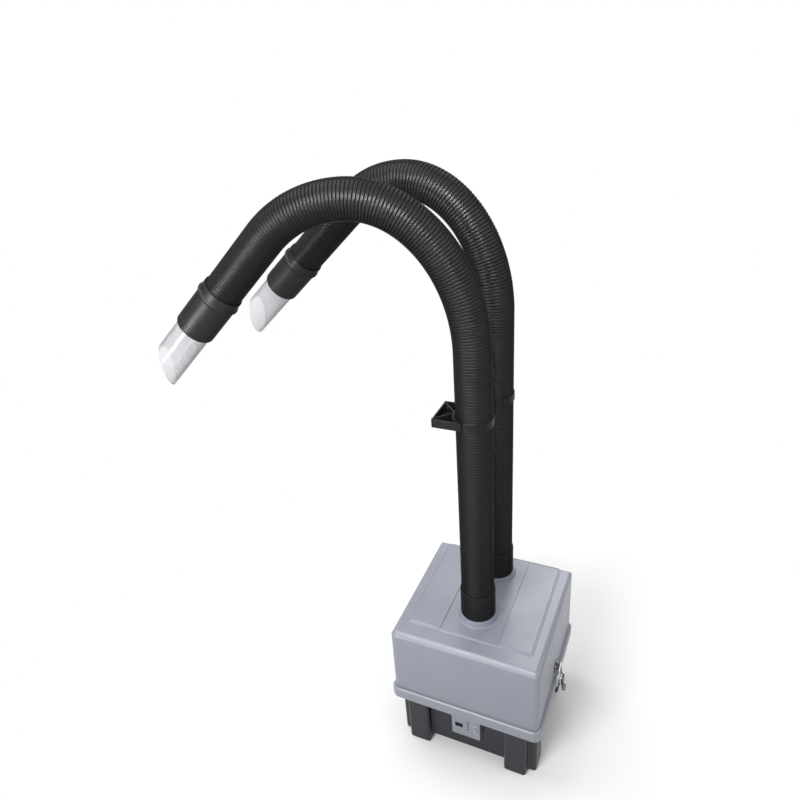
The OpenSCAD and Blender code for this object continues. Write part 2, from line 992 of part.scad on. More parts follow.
module key_pad() {
    color("#c3c6cc")
        facing(-panel_face, pad_t)
            translate([pad_x, pad_z])
                difference() {
                    round_rect(pad_w, pad_h, pad_corner);
                    stadium(key_w + 2 * fit_gap, key_h + 2 * fit_gap);
                }
}

module power_key() {
    key_back = board_face + key_travel + turn_gap;
    flange_face = panel_face - panel_wall - fit_gap;
    color("#d4d7dc") {
        facing(-key_back, panel_face + pad_t + key_proud - key_back)
            translate([pad_x, pad_z])
                stadium(key_w, key_h);
        facing(key_flange - flange_face, key_flange)
            translate([pad_x, pad_z])
                stadium(key_w + 2 * key_lip, key_h + 2 * key_lip);
    }
}

module exhaust_grille() {
    slots = floor((grille_h - 2 * grille_frame - slot_h) / slot_pitch);
    color("#303136")
        facing(recess_front + grille_t, grille_t)
            difference() {
                translate([grille_x, grille_z + grille_h / 2])
                    round_rect(grille_w, grille_h, plate_corner);
                for (k = [0 : slots - 1])
                    translate([grille_x, grille_z + grille_h / 2 + slot_pitch * (k - (slots - 1) / 2)])
                        square([grille_w - 2 * grille_frame - 2 * slot_end, slot_h], center = true);
            }
}

module exhaust_foam() {
    color("#3a3a3c")
        translate([grille_x - grille_w / 2, recess_front - wall - foam_t, floor_z])
            cube([grille_w, foam_t, grille_z + grille_h - floor_z]);
}

module power_inlet() {
    face = recess_front + inlet_flange_t;
    color("#1d1d1f")
        translate([inlet_x, 0, inlet_z])
            difference() {
                union() {
                    facing(face, inlet_flange_t)
                        round_rect(inlet_flange_w, inlet_flange_h, plate_corner);
                    facing(face, inlet_body_l)
                        square([inlet_body_w, inlet_body_h], center = true);
                }
                facing(face + cut, inlet_recess_l + cut)
                    round_rect(inlet_recess_w, inlet_recess_h, plate_corner);
            }
}

module inlet_pins() {
    root = recess_front + inlet_flange_t - inlet_recess_l;
    color("#b9a36a")
        translate([inlet_x, 0, inlet_z])
            for (p = [[-1, -1], [0, 1], [1, -1]])
                facing(root + pin_l, pin_l)
                    translate([p[0] * pin_pitch / 2, p[1] * 2])
                        square([pin_w, pin_h], center = true);
}

module latch_plate(s) {
    color(steel)
        at_side(s) {
            translate([0, -latch_w / 2, rim_z + latch_margin])
                cube([latch_plate_t, latch_w, rim_h - 2 * latch_margin]);
            for (v = [-ear_in - ear_t, ear_in])
                translate([0, v, latch_z - ear_drop])
                    cube([latch_u + ear_rim, ear_t, ear_drop + ear_rim]);
            rod([latch_u, -lever_half, latch_z], [latch_u, lever_half, latch_z], latch_pin_r);
        }
}

module latch_plate_right() { latch_plate(1); }
module latch_plate_left() { latch_plate(-1); }

module latch_rivets() {
    color(steel)
        for (s = [-1, 1], v = [-1, 1], w = [-1, 1])
            at_side(s)
                translate([latch_plate_t, v * rivet_v, rivet_mid + w * rivet_rise])
                    rotate([0, 90, 0])
                        cylinder(r = rivet_r, h = rivet_h);
}

module latch_lever(s) {
    color(steel)
        at_side(s)
            difference() {
                union() {
                    for (v = [-lever_half, cheek_in])
                        translate([latch_u - cheek_rim, v, bail_z - cheek_foot])
                            cube([cheek_w, cheek_t, bail_throw + cheek_foot + cheek_rim]);
                    translate([web_u, -lever_half, latch_z - lever_l])
                        cube([web_t, 2 * lever_half, lever_l + web_rise]);
                    translate([web_u, -lever_half, latch_z - lever_l])
                        cube([lip_u - web_u, 2 * lever_half, lip_t]);
                }
                rod([latch_u, -far, latch_z], [latch_u, far, latch_z], latch_pin_r + turn_gap);
                rod([bail_u, -far, bail_z], [bail_u, far, bail_z], bail_r + turn_gap);
            }
}

module latch_lever_right() { latch_lever(1); }
module latch_lever_left() { latch_lever(-1); }

module latch_bail(s) {
    color(steel)
        at_side(s) {
            for (v = [-1, 1]) {
                rod([bail_u, v * cheek_in, bail_z], [bail_u, v * bail_half, bail_z], bail_r);
                rod([bail_u, v * bail_half, bail_z], [bar_u, v * bail_half, bar_z], bail_r);
                translate([bail_u, v * bail_half, bail_z])
                    sphere(knuckle_r);
                translate([bar_u, v * bail_half, bar_z])
                    sphere(knuckle_r);
            }
            rod([bar_u, -bail_half, bar_z], [bar_u, bail_half, bar_z], bail_r);
        }
}

module latch_bail_right() { latch_bail(1); }
module latch_bail_left() { latch_bail(-1); }

// Two corners of the hood block, at the front for end = -1 and at the back for end = 1
module at_hood_corners(end, draft) {
    r = end < 0 ? hood_round : back_round;
    for (sx = [-1, 1])
        translate([sx * (hood_x - draft - r), end * (hood_y - draft - r), 0])
            children();
}

// Hood block, from height z up, set in from the outside
module hood_block(inset, z) {
    hull()
        for (end = [-1, 1]) {
            r = end < 0 ? hood_round : back_round;
            at_hood_corners(end, 0)
                translate([0, 0, z])
                    cylinder(r = r - inset, h = cut, $fn = shell_fn);
            at_hood_corners(end, hood_draft)
                translate([0, 0, hood_top - r])
                    sphere(r - inset, $fn = shell_fn);
        }
}

// Raised field on the hood's top between two x values
module top_field(x0, x1, h) {
    y0 = top_border - hood_y + hood_draft + field_r;
    y1 = hood_y - hood_draft - back_round + field_back - field_r;
    hull()
        for (x = [x0 + field_r, x1 - field_r], y = [y0, y1])
            translate([x, y, hood_top - wall / 2])
                cylinder(r1 = field_r + field_slope, r2 = field_r, h = wall / 2 + h, $fn = shell_fn);
}

module hood_shell() {
    field_x = channel_w / 2 + panel_strip_w;
    color(hood_grey)
        difference() {
            union() {
                difference() {
                    hood_block(0, deck_z);
                    hood_block(wall, deck_z - cut);
                }
                top_field(-field_x, field_x, top_step);
                top_field(channel_w / 2, field_x, 2 * top_step);
                top_field(-field_x, -channel_w / 2, 2 * top_step);
            }
            for (i = [0, 1])
                at_inlet(i)
                    translate([0, 0, hood_ceiling - cut])
                        cylinder(r = neck_r + fit_gap, h = far);
        }
}

module latch_keeper(s) {
    color(steel)
        at_side(s) {
            translate([keeper_wall_u, -keeper_w / 2, keeper_foot])
                cube([keeper_t, keeper_w, keeper_h]);
            translate([keeper_wall_u, -keeper_hook_half, keeper_z])
                cube([keeper_tip_u - keeper_wall_u, 2 * keeper_hook_half, keeper_shelf_t]);
            translate([keeper_tip_u - keeper_t, -keeper_hook_half, keeper_z])
                cube([keeper_t, 2 * keeper_hook_half, keeper_lip_h]);
        }
}

module latch_keeper_right() { latch_keeper(1); }
module latch_keeper_left() { latch_keeper(-1); }

module keeper_rivets() {
    color(steel)
        for (s = [-1, 1], v = [-1, 1])
            at_side(s)
                translate([keeper_wall_u + keeper_t, v * (keeper_w / 2 - rivet_inset), keeper_rivet_z])
                    rotate([0, 90, 0])
                        cylinder(r = rivet_r, h = rivet_h);
}

module inlet_spigot(i) {
    color(hood_grey)
        at_inlet(i)
            difference() {
                union() {
                    translate([0, 0, channel_z])
                        cylinder(r1 = collar_od / 2, r2 = cuff_r + collar_edge, h = collar_h);
                    translate([0, 0, spigot_foot])
                        cylinder(r = neck_r, h = channel_z - spigot_foot + cut);
                    translate([0, 0, channel_z])
                        cylinder(r = spigot_r, h = spigot_top - channel_z);
                }
                cylinder(d = spigot_bore, h = far);
            }
}

module inlet_spigot_front() { inlet_spigot(0); }
module inlet_spigot_rear() { inlet_spigot(1); }

module spigot_nuts() {
    color("#303136")
        for (i = [0, 1])
            at_inlet(i)
                translate([0, 0, hood_ceiling - nut_h - nut_gap])
                    difference() {
                        cylinder(r = nut_r, h = nut_h);
                        translate([0, 0, -cut])
                            cylinder(r = neck_r + turn_gap, h = nut_h + 2 * cut);
                    }
}

module inlet_cuff(i) {
    color(hose_black)
        at_inlet(i)
            difference() {
                translate([0, 0, collar_top])
                    cylinder(r = cuff_r, h = inlet_cuff_h);
                cylinder(r = spigot_r + turn_gap, h = far);
                translate([0, 0, hose_foot])
                    cylinder(r = seat_r, h = far);
            }
}

module inlet_cuff_front() { inlet_cuff(0); }
module inlet_cuff_rear() { inlet_cuff(1); }

module hose_lower(i) {
    run = swing_z - hose_foot;
    ribs = round(run / rib_pitch);
    color(hose_black)
        at_inlet(i)
            rotate_extrude()
                polygon(concat(
                    [for (k = [0 : 2 * ribs]) [hose_radii[k % 2], hose_foot + run * k / (2 * ribs)]],
                    [[hose_bore_r, swing_z], [hose_bore_r, hose_foot]]
                ));
}

module hose_lower_front() { hose_lower(0); }
module hose_lower_rear() { hose_lower(1); }

// Wall between two points in plan
module plan_wall(p, q, t) {
    v = q - p;
    translate(p)
        rotate(atan2(v[1], v[0]))
            translate([0, -t / 2])
                square([norm(v), t]);
}

module bracket_plan() {
    half = bracket_l / 2;
    back = -bracket_reach;
    difference() {
        union() {
            translate([back, -half])
                square([bracket_wall, bracket_l]);
            for (s = [-1, 1]) {
                translate([back, s * (half - bracket_wall / 2) - bracket_wall / 2])
                    square([bracket_reach - saddle_end, bracket_wall]);
                plan_wall([back, s * (half - bracket_wall)], [-saddle_r, 0], bracket_wall);
            }
            intersection() {
                circle(saddle_r + bracket_wall);
                translate([-far - saddle_end, -far / 2])
                    square(far);
            }
        }
        circle(saddle_r);
    }
}

// Floor under the bracket's open cells
module bracket_floor() {
    difference() {
        translate([-bracket_reach, -bracket_l / 2])
            square([bracket_reach - saddle_end, bracket_l]);
        circle(saddle_r);
    }
}

module bracket(i) {
    color(bracket_black)
        at_inlet(i)
            difference() {
                translate([0, 0, bracket_feet[i]]) {
                    linear_extrude(bracket_h)
                        bracket_plan();
                    linear_extrude(web_floor_t)
                        bracket_floor();
                }
                for (s = [-1, 1])
                    translate([-bracket_reach - cut, s * bracket_pitch / 2, bracket_feet[i] + bracket_h / 2])
                        rotate([0, 90, 0])
                            cylinder(d = bracket_hole, h = bracket_wall + 2 * cut);
            }
}

module bracket_front() { bracket(0); }
module bracket_rear() { bracket(1); }

module strap(i) {
    color(bracket_black)
        at_inlet(i)
            translate([0, 0, bracket_feet[i] + (bracket_h - strap_w) / 2])
                difference() {
                    union() {
                        cylinder(r = strap_r + strap_t, h = strap_w);
                        rotate(buckle_azimuth)
                            translate([strap_r, -buckle_w / 2, 0])
                                cube([buckle_t, buckle_w, strap_w]);
                    }
                    translate([0, 0, -cut])
                        cylinder(r = strap_r, h = strap_w + 2 * cut);
                }
}

module strap_front() { strap(0); }
module strap_rear() { strap(1); }

module hose_upper(i, a) {
    color(hose_black)
        in_arm(i, a)
            ribbed_hose(arm_line(a));
}

module hose_upper_front() { hose_upper(0, front_arm); }
module hose_upper_rear() { hose_upper(1, rear_arm); }

module nozzle_cuff(i, a) {
    color(hose_black)
        at_arm_end(i, a)
            difference() {
                union() {
                    cylinder(r = cuff_r, h = nozzle_cuff_l);
                    translate([0, 0, bead_at])
                        cylinder(r = bead_r, h = bead_l);
                }
                translate([0, 0, -cut])
                    cylinder(r = seat_r, h = hose_seat + cut);
                cylinder(r = cuff_throat, h = far);
                translate([0, 0, nozzle_cuff_l - nozzle_seat])
                    cylinder(r = nozzle_socket, h = far);
            }
}

module nozzle_cuff_front() { nozzle_cuff(0, front_arm); }
module nozzle_cuff_rear() { nozzle_cuff(1, rear_arm); }

module nozzle(i, a, turn) {
    foot = nozzle_cuff_l - nozzle_seat + fit_gap;
    mouth = nozzle_cuff_l + nozzle_l + nozzle_r * tan(mouth_slant);
    color("#dfe3e8", 0.6)
        at_arm_end(i, a)
            difference() {
                translate([0, 0, foot])
                    cylinder(r = nozzle_r, h = far);
                cylinder(r = nozzle_r - nozzle_wall, h = 2 * far);
                translate([0, 0, mouth])
                    rotate([0, -mouth_slant, turn])
                        translate([-far, -far, 0])
                            cube(2 * far);
            }
}

module nozzle_front() { nozzle(0, front_arm, front_turn); }
module nozzle_rear() { nozzle(1, rear_arm, rear_turn); }

base_tub();
deck_frame();
deck_screws();
hood_seal();
filter_seal();
filter_casing();
carbon_bed();
filter_pleats();
prefilter_mat();
fan_gasket();
fan_scroll();
fan_screws();
fan_motor();
motor_shaft();
fan_impeller();
panel_case();
control_board();
display_window();
status_lamps();
key_pad();
power_key();
exhaust_grille();
exhaust_foam();
power_inlet();
inlet_pins();
latch_plate_right();
latch_plate_left();
latch_rivets();
latch_lever_right();
latch_lever_left();
latch_bail_right();
latch_bail_left();
hood_shell();
latch_keeper_right();
latch_keeper_left();
keeper_rivets();
inlet_spigot_front();
inlet_spigot_rear();
spigot_nuts();
inlet_cuff_front();
inlet_cuff_rear();
hose_lower_front();
hose_lower_rear();
bracket_front();
bracket_rear();
strap_front();
strap_rear();
hose_upper_front();
hose_upper_rear();
nozzle_cuff_front();
nozzle_cuff_rear();
nozzle_front();
nozzle_rear();
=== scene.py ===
"""Studio picture of a two-arm bench fume extractor."""

import json
import math

import bmesh
import bpy
from mathutils import Matrix, Vector

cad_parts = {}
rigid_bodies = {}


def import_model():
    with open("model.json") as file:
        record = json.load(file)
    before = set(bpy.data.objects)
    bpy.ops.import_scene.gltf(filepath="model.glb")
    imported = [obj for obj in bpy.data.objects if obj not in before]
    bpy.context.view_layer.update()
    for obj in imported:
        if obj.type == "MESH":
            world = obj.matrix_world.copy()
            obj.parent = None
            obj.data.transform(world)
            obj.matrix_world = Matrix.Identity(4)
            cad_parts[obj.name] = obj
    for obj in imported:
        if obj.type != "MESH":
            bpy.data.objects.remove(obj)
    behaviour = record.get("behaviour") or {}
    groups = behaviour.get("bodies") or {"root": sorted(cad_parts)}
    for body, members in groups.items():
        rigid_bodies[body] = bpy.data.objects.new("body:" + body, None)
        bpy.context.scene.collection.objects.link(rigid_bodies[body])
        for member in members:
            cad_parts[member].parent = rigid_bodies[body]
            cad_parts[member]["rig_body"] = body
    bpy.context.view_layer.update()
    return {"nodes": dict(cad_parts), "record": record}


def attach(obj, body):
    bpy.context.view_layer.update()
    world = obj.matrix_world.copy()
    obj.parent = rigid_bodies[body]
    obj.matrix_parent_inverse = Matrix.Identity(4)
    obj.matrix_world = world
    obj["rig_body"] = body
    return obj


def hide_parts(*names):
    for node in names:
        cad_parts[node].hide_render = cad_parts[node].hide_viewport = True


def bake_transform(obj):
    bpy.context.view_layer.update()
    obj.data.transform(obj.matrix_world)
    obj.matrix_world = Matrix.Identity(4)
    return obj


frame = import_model()

MM = 0.001

# Sizes in millimetres. Those of the CAD are as in the part's source.
# Rim and deck
RIM_X, RIM_Y = 160, 155
RIM_Z, DECK_Z = 136, 161
RIM_CORNER, RIM_EDGE, RIM_FLAT = 16, 4, 12
WALL = 4
AIR_HOLE_R = 46
# Hood, with the raised fields on its top
HOOD_X, HOOD_Y = 154, 149
HOOD_TOP, HOOD_DRAFT = 319, 1
HOOD_CEILING = HOOD_TOP - WALL
HOOD_FOOT = DECK_Z + 0.1
HOOD_ROUND, BACK_ROUND = 11, 6
EDGE_POWER = 1.5
TOP_STEP = 1.5
CHANNEL_Z = HOOD_TOP + TOP_STEP
FIELD_X, CHANNEL_X = 129, 60
FIELD_FRONT, FIELD_BACK = -108, 143
FIELD_ROUND = 7
FIELD_INSET = 3.2
FIELD_SLOPE = ((-0.6, -0.2), (-0.4, 0.05), (-0.2, 0.3), (0.2, 0.78), (0.45, 0.95), (0.7, 1))
SIDE_RUN, FRONT_RUN = 1.0, 4.5
# Hose inlets
COLLAR_R, COLLAR_EDGE, COLLAR_TOP = 40, 36.55, 333.5
SPIGOT_FOOT, SPIGOT_TOP = 303, 355.5
SPIGOT_R, SPIGOT_BORE, NECK_R = 30, 27.5, 32
CUFF_R, CUFF_SEAT, CUFF_TOP = 35.05, 33.05, 394.5
# Hoses: SEAM keeps the lower and the upper run apart, BEND_SHARES of an arm's reach are the ends of its bend,
# RIB is a rib's height along its pitch
HOSE_FOOT, SWING_Z, SEAM = 359.5, 835, 0.05
HOSE_R, HOSE_ROOT, HOSE_SEAT = 32.75, 31.55, 34.7
RIB_PITCH = 5.5
RIB = ((0, 0), (0.08, 0.6), (0.15, 0.93), (0.24, 1), (0.76, 1), (0.85, 0.93), (0.92, 0.6))
# Nozzles and their cuffs
NOZZLE_CUFF_L, NOZZLE_R, NOZZLE_WALL = 93, 31, 1.5
NOZZLE_FOOT, MOUTH_MID, MOUTH_SLANT = 53.3, 192.43, 41.5
BEAD_R, BEAD_AT, BEAD_L = 37.55, 15, 6
STOP_AT, GROOVE_AT = 35, NOZZLE_CUFF_L - 15
# Straps with their buckles
STRAP_RISE, STRAP_W, STRAP_T, STRAP_GAP = 0.5, 15, 1.6, 0.3
STRAP_GROOVES = (4.2, 9.8)
BUCKLE_AZIMUTH, BUCKLE_W, BUCKLE_T, BUCKLE_BAR = -43, 13, 3.2, 2.2
TAIL_TURN, TAIL_L, TAIL_T = 14, 7, 2.6
# Control panel
PANEL_BACK, PANEL_FACE = -125, -138
PANEL_Z, PANEL_H, PANEL_W = 57, 93, 62
PANEL_CORNER, PANEL_EDGE = 2.5, 0.7
DISPLAY_X, DISPLAY_Z = -15, PANEL_Z + 31
DISPLAY_W, DISPLAY_H, DISPLAY_CORNER = 21, 16, 1.5
DISPLAY_BAR, DISPLAY_RISE = 1.9, 0.35

ARMS = {
    "front": dict(
        y=-41, azimuth=195, bend=905, reach=190, rise=256, fall_r=190, fall=45, straight=120, turn=-22, bracket=774
    ),
    "rear": dict(
        y=89, azimuth=180, bend=930, reach=160, rise=226, fall_r=154, fall=42.5, straight=157, turn=-10, bracket=756
    ),
}

# Fineness of the meshes
TURN_SIDES, HOSE_SIDES, STRAP_SIDES = 64, 36, 72
HOOD_CORNER_STEPS, HOOD_EDGE_STEPS = 10, 12
RIM_CORNER_STEPS, RIM_EDGE_STEPS = 12, 8
LOWER_STEPS, FOOT_STEPS, RISE_STEPS, FALL_STEPS, END_STEPS = 20, 8, 90, 45, 20
NOZZLE_STEPS = 10
WELD = 1e-6  # metres: points nearer than this become one

# Surface detail, in metres or as shares
MIDDLE = (0.3, 0.7)  # where most of a noise lies
MOTTLE_SCALE, MOTTLE_DETAIL = 38, 4
GRAIN_DETAIL, GRAIN_DEPTH = 2, 0.0002
ROUGH_VARY = 0.14
WEAR_WIDTH, WEAR_TURN, WEAR_SHARE = 0.0009, (0.99, 0.8), 0.45
# painted shade in creases: the width it reaches, and the openness at which it starts and is full
CREASE_WIDTH, CREASE_OPEN = 0.004, (0.9, 0.45)
# Layer Weight ranges of the gloss, and of the painted shade on clear walls seen edge-on
GLOSS_ASLANT, GLASS_ASLANT = (0.08, 0.55), (0.45, 0.9)


# ---------------------------------------------------------------- shader tools
def remap(tree, value, before, after):
    """A value taken from one range to another and held at its ends."""
    node = tree.nodes.new("ShaderNodeMapRange")
    node.inputs["From Min"].default_value, node.inputs["From Max"].default_value = before
    node.inputs["To Min"].default_value, node.inputs["To Max"].default_value = after
    tree.links.new(value, node.inputs["Value"])
    return node.outputs["Result"]


def combined(tree, operation, first, second):
    """Two values through a maths node."""
    node = tree.nodes.new("ShaderNodeMath")
    node.operation = operation
    tree.links.new(first, node.inputs[0])
    tree.links.new(second, node.inputs[1])
    return node.outputs[0]


def scaled(tree, tint, share):
    """A colour times a share."""
    node = tree.nodes.new("ShaderNodeVectorMath")
    node.operation = "SCALE"
    tree.links.new(tint, node.inputs[0])
    tree.links.new(share, node.inputs["Scale"])
    return node.outputs["Vector"]


def noise(tree, coords, scale, detail):
    """Noise over the given coordinates."""
    node = tree.nodes.new("ShaderNodeTexNoise")
    node.inputs["Scale"].default_value = scale
    node.inputs["Detail"].default_value = detail
    tree.links.new(coords, node.inputs["Vector"])
    return node.outputs["Fac"]


def mottled(tree, value, colour, vary):
    """A colour that gets darker and lighter with a noise."""
    ramp = tree.nodes.new("ShaderNodeValToRGB")
    for stop, position, share in zip(ramp.color_ramp.elements, MIDDLE, (1 - vary, 1 + vary)):
        stop.position = position
        stop.color = [min(1, c * share) for c in colour] + [1]
    tree.links.new(value, ramp.inputs["Fac"])
    return ramp.outputs["Color"]


def rubbed(tree, tint, colour):
    """The tint with another colour along its sharp edges."""
    edge = tree.nodes.new("ShaderNodeBevel")
    edge.samples = 4
    edge.inputs["Radius"].default_value = WEAR_WIDTH
    geometry = tree.nodes.new("ShaderNodeNewGeometry")
    turn = tree.nodes.new("ShaderNodeVectorMath")
    turn.operation = "DOT_PRODUCT"
    tree.links.new(edge.outputs["Normal"], turn.inputs[0])
    tree.links.new(geometry.outputs["Normal"], turn.inputs[1])
    mix = tree.nodes.new("ShaderNodeMix")
    mix.data_type = "RGBA"
    mix.inputs["B"].default_value = list(colour) + [1]
    tree.links.new(remap(tree, turn.outputs["Value"], WEAR_TURN, (0, WEAR_SHARE)), mix.inputs["Factor"])
    tree.links.new(tint, mix.inputs["A"])
    return mix.outputs["Result"]


def shaded_in_creases(tree, tint, shade):
    """The tint darker in creases that face up: painted shade."""
    crease = tree.nodes.new("ShaderNodeAmbientOcclusion")
    crease.samples = 6
    crease.inputs["Distance"].default_value = CREASE_WIDTH
    geometry = tree.nodes.new("ShaderNodeNewGeometry")
    parts = tree.nodes.new("ShaderNodeSeparateXYZ")
    tree.links.new(geometry.outputs["Normal"], parts.inputs[0])
    depth = remap(tree, crease.outputs["AO"], CREASE_OPEN, (0, 1))
    upward_crease = combined(tree, "MULTIPLY", depth, parts.outputs["Z"])
    return scaled(tree, tint, remap(tree, upward_crease, (0, 1), (1, shade)))


def surface(
    name, colour, rough, vary=0.06, grain=900, bump=0.15, wear=None, grime=None, gloss=None, glass=None, **sockets
):
    """Mottled colour, uneven roughness and fine grain.

    wear is the colour of rubbed edges, the crease shade the share of the colour left by painted shade in creases that
    face up, gloss the specular level seen straight and aslant, glass the share of the colour left where a clear wall
    is seen edge-on, partly for the longer path through the wall and partly as painted shade along its outline.
    """
    mat = bpy.data.materials.new(name)
    mat.use_nodes = True
    tree = mat.node_tree
    shader = tree.nodes["Principled BSDF"]
    for key, value in sockets.items():
        shader.inputs[key.replace("_", " ")].default_value = value
    coords = tree.nodes.new("ShaderNodeTexCoord").outputs["Object"]
    mottle = noise(tree, coords, MOTTLE_SCALE, MOTTLE_DETAIL)
    tint = mottled(tree, mottle, colour, vary)
    if wear:
        tint = rubbed(tree, tint, wear)
    # painted shade in creases that face up
    if grime:
        tint = shaded_in_creases(tree, tint, grime)
    # where a clear wall is seen edge-on the colour is darker: partly the longer path through the wall, partly painted
    # shade along its outline
    if glass:
        aslant = tree.nodes.new("ShaderNodeLayerWeight").outputs["Facing"]
        tint = scaled(tree, tint, remap(tree, aslant, GLASS_ASLANT, (1, glass)))
    tree.links.new(tint, shader.inputs["Base Color"])
    if gloss:
        level = shader.inputs["Specular IOR Level"]
        level.default_value = gloss[0]
        aslant = tree.nodes.new("ShaderNodeLayerWeight").outputs["Facing"]
        tree.links.new(remap(tree, aslant, GLOSS_ASLANT, gloss), level)
    uneven = (rough * (1 - ROUGH_VARY), min(1, rough * (1 + ROUGH_VARY)))
    tree.links.new(remap(tree, mottle, MIDDLE, uneven), shader.inputs["Roughness"])
    grains = tree.nodes.new("ShaderNodeBump")
    grains.inputs["Strength"].default_value = bump
    grains.inputs["Distance"].default_value = GRAIN_DEPTH
    tree.links.new(noise(tree, coords, grain, GRAIN_DETAIL), grains.inputs["Height"])
    tree.links.new(grains.outputs["Normal"], shader.inputs["Normal"])
    return mat


# ---------------------------------------------------------------- finishes
LOOKS = {
    "charcoal": dict(
        colour=(0.022, 0.0225, 0.028), rough=0.34, bump=0.12, wear=(0.028, 0.0285, 0.034), Specular_IOR_Level=0.2
    ),
    "rim_grey": dict(colour=(0.19, 0.204, 0.238), rough=0.34, vary=0.03, bump=0.08, wear=(0.36, 0.38, 0.42)),
    # the hood carries painted shade in the creases that face up on its top
    "hood_grey": dict(
        colour=(0.186, 0.198, 0.235), rough=0.34, vary=0.03, bump=0.06, wear=(0.2, 0.212, 0.25), grime=0.35
    ),
    "hose_black": dict(colour=(0.004, 0.004, 0.0045), rough=0.4, grain=1500, bump=0.05, gloss=(0.2, 0.01)),
    "cuff_black": dict(
        colour=(0.008, 0.008, 0.0085), rough=0.42, bump=0.05, wear=(0.012, 0.012, 0.012), gloss=(0.26, 0.02)
    ),
    "bracket_black": dict(
        colour=(0.0045, 0.0045, 0.0045), rough=0.4, wear=(0.016, 0.016, 0.016), Specular_IOR_Level=0.15
    ),
    # the clear plastic is darker where seen edge-on, partly as painted shade along its outline
    "clear_plastic": dict(
        colour=(0.72, 0.723, 0.737), rough=0.08, vary=0.02, bump=0.02, gloss=(0.5, 0.1), glass=0.1,
        Transmission_Weight=0.8, IOR=1.3,
    ),
    "black_steel": dict(colour=(0.02, 0.021, 0.022), rough=0.24, grain=1800, wear=(0.3, 0.31, 0.32)),
    "steel": dict(colour=(0.62, 0.63, 0.65), rough=0.26, grain=2200, bump=0.1, Metallic=1.0),
    "seal_rubber": dict(colour=(0.02, 0.02, 0.021), rough=0.7),
    "casing_board": dict(colour=(0.5, 0.42, 0.3), rough=0.8, vary=0.12),
    "filter_paper": dict(colour=(0.8, 0.79, 0.74), rough=0.85, vary=0.08, grain=500, bump=0.4),
    "filter_fleece": dict(colour=(0.66, 0.69, 0.72), rough=0.95, vary=0.14, grain=420, bump=0.9),
    "carbon_fleece": dict(colour=(0.03, 0.03, 0.03), rough=0.95, vary=0.3, grain=420, bump=0.9),
    "foam": dict(colour=(0.05, 0.05, 0.053), rough=0.95, vary=0.25, grain=380, bump=1.0),
    "dark_plastic": dict(colour=(0.022, 0.022, 0.025), rough=0.45, wear=(0.06, 0.06, 0.065)),
    "motor_metal": dict(colour=(0.5, 0.5, 0.51), rough=0.4, grain=1400, Metallic=1.0),
    "board_green": dict(colour=(0.03, 0.12, 0.05), rough=0.4, vary=0.2),
    "display_dark": dict(colour=(0.003, 0.0035, 0.006), rough=0.3, bump=0.02, Specular_IOR_Level=0.06),
    "lamp_clear": dict(colour=(0.006, 0.006, 0.008), rough=0.3, bump=0.02, Specular_IOR_Level=0.08),
    "key_grey": dict(colour=(0.225, 0.245, 0.29), rough=0.4, vary=0.03, wear=(0.16, 0.18, 0.21)),
    "pin_brass": dict(colour=(0.72, 0.55, 0.25), rough=0.28, grain=1800, Metallic=1.0),
}
FINISH = {name: surface(name, **look) for name, look in LOOKS.items()}

# The wall of the clear plastic takes up a little of the light that goes through it
clear = FINISH["clear_plastic"].node_tree
absorb = clear.nodes.new("ShaderNodeVolumeAbsorption")
absorb.inputs["Color"].default_value = (0.5, 0.52, 0.56, 1)
absorb.inputs["Density"].default_value = 150
clear.links.new(absorb.outputs["Volume"], clear.nodes["Material Output"].inputs["Volume"])

for entry in frame["record"]["subparts"]:
    shown = frame["nodes"][entry["node"]].data
    shown.materials.clear()
    shown.materials.append(FINISH[entry["material_slot"]])


# ---------------------------------------------------------------- mesh tools
def loft(loops, close=False, caps=()):
    """Points and faces of a skin over loops of equal length. caps names the loops that get a face."""
    count = len(loops[0])
    points = [p for loop in loops for p in loop]
    faces = []
    for i in range(len(loops) if close else len(loops) - 1):
        a, b = i * count, (i + 1) % len(loops) * count
        for k in range(count):
            n = (k + 1) % count
            faces.append((a + k, a + n, b + n, b + k))
    for i in caps:
        faces.append(tuple(range(i * count, (i + 1) * count)))
    return points, faces


def add_object(name, data):
    """A mesh, a lamp or a camera put in the scene."""
    obj = bpy.data.objects.new(name, data)
    bpy.context.scene.collection.objects.link(obj)
    return obj


def even_normals(obj):
    """Flat faces that shade flat beside rounded edges."""
    normals = obj.modifiers.new("normals", "WEIGHTED_NORMAL")
    normals.keep_sharp = True


def piece(name, form, slot, body, *nodes, at=None, angle=40, flat=True):
    """A mesh in millimetres, in place, with its finish, on its body, instead of CAD nodes."""
    points, faces = form
    if at is not None:
        points = [at @ Vector(p) for p in points]
    mesh = bpy.data.meshes.new(name)
    mesh.from_pydata([tuple(c * MM for c in p) for p in points], [], faces)
    work = bmesh.new()
    work.from_mesh(mesh)
    bmesh.ops.remove_doubles(work, verts=work.verts, dist=WELD)
    bmesh.ops.recalc_face_normals(work, faces=work.faces)
    work.to_mesh(mesh)
    work.free()
    mesh.materials.append(FINISH[slot])
    mesh.shade_smooth()
    mesh.set_sharp_from_angle(angle=math.radians(angle))
    obj = add_object(name, mesh)
    if flat:
        even_normals(obj)
    if nodes:
        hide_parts(*nodes)
    if body:
        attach(obj, body)
    return obj


